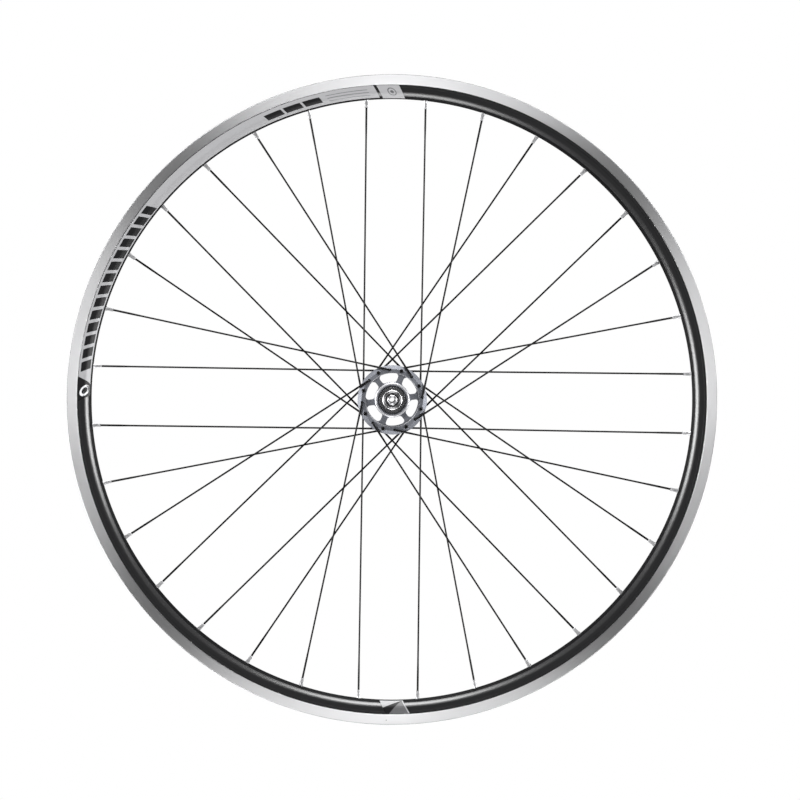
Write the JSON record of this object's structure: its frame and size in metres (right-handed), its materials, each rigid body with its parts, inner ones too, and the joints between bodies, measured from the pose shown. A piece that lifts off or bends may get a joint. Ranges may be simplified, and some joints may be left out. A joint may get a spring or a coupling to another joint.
{
  "type": "bicycle front wheel",
  "caption": "Bare bicycle front wheel: rim-brake alloy rim, crossed black spokes and a large-flange hub that turns on sealed bearings round a hollow quick-release axle.",
  "frame": {"origin": "the wheel's centre: on the axle, midway between the faces that the fork clamps", "axes": "+Y along the axle towards the wheel's left side, +Z from the centre to the valve hole, +X forward; the right side, which the picture shows, is -Y"},
  "size_m": [0.6339, 0.108, 0.634],
  "materials": {
    "rim_alloy": "black anodised with machined bare brake tracks",
    "hub_alloy": "grey anodised satin",
    "axle_alloy": "satin",
    "cap_alloy": "turned bright",
    "spoke_steel": "black coated satin",
    "nipple_plated": "nickel plated",
    "bearing_steel": "ground and polished",
    "cage_nylon": "moulded",
    "seal_rubber": "satin",
    "tape_film": "smooth film",
    "decal_film": "satin silver print"
  },
  "bodies": {
    "axle": {"axle": "axle_alloy", "end_cap_right": "cap_alloy", "end_cap_left": "cap_alloy", "bearing_inner_race_right": "bearing_steel", "bearing_inner_race_left": "bearing_steel"},
    "wheel": {"bearing_outer_race_right": "bearing_steel", "bearing_outer_race_left": "bearing_steel", "bearing_seal_outer_right": "seal_rubber", "bearing_seal_inner_right": "seal_rubber", "bearing_seal_outer_left": "seal_rubber", "bearing_seal_inner_left": "seal_rubber", "hub_shell": "hub_alloy", "rim": "rim_alloy", "rim_tape": "tape_film", "spokes_right_outer": "spoke_steel", "spokes_right_inner": "spoke_steel", "spokes_left_outer": "spoke_steel", "spokes_left_inner": "spoke_steel", "nipples_right": "nipple_plated", "nipples_left": "nipple_plated", "decal_panel_right": "decal_film", "decal_panel_left": "decal_film", "decal_badge_right": "decal_film", "decal_badge_left": "decal_film", "decal_joint_right": "decal_film", "decal_joint_left": "decal_film"},
    "cage_right": {"bearing_balls_right": "bearing_steel", "ball_cage_right": "cage_nylon"},
    "cage_left": {"bearing_balls_left": "bearing_steel", "ball_cage_left": "cage_nylon"}
  },
  "joints": [
    {"name": "wheel_spin", "type": "hinge", "parent": "axle", "child": "wheel", "pos_m": [0, 0, 0], "axis": [0, 1, 0], "continuous": true},
    {"name": "cage_spin_right", "type": "hinge", "parent": "axle", "child": "cage_right", "pos_m": [0, -0.0365, 0], "axis": [0, 1, 0], "continuous": true},
    {"name": "cage_spin_left", "type": "hinge", "parent": "axle", "child": "cage_left", "pos_m": [0, 0.0365, 0], "axis": [0, 1, 0], "continuous": true}
  ],
  "couplings": [
    {"joint": "cage_spin_right", "follows": "wheel_spin", "ratio": 0.5923},
    {"joint": "cage_spin_left", "follows": "wheel_spin", "ratio": 0.5923}
  ]
}
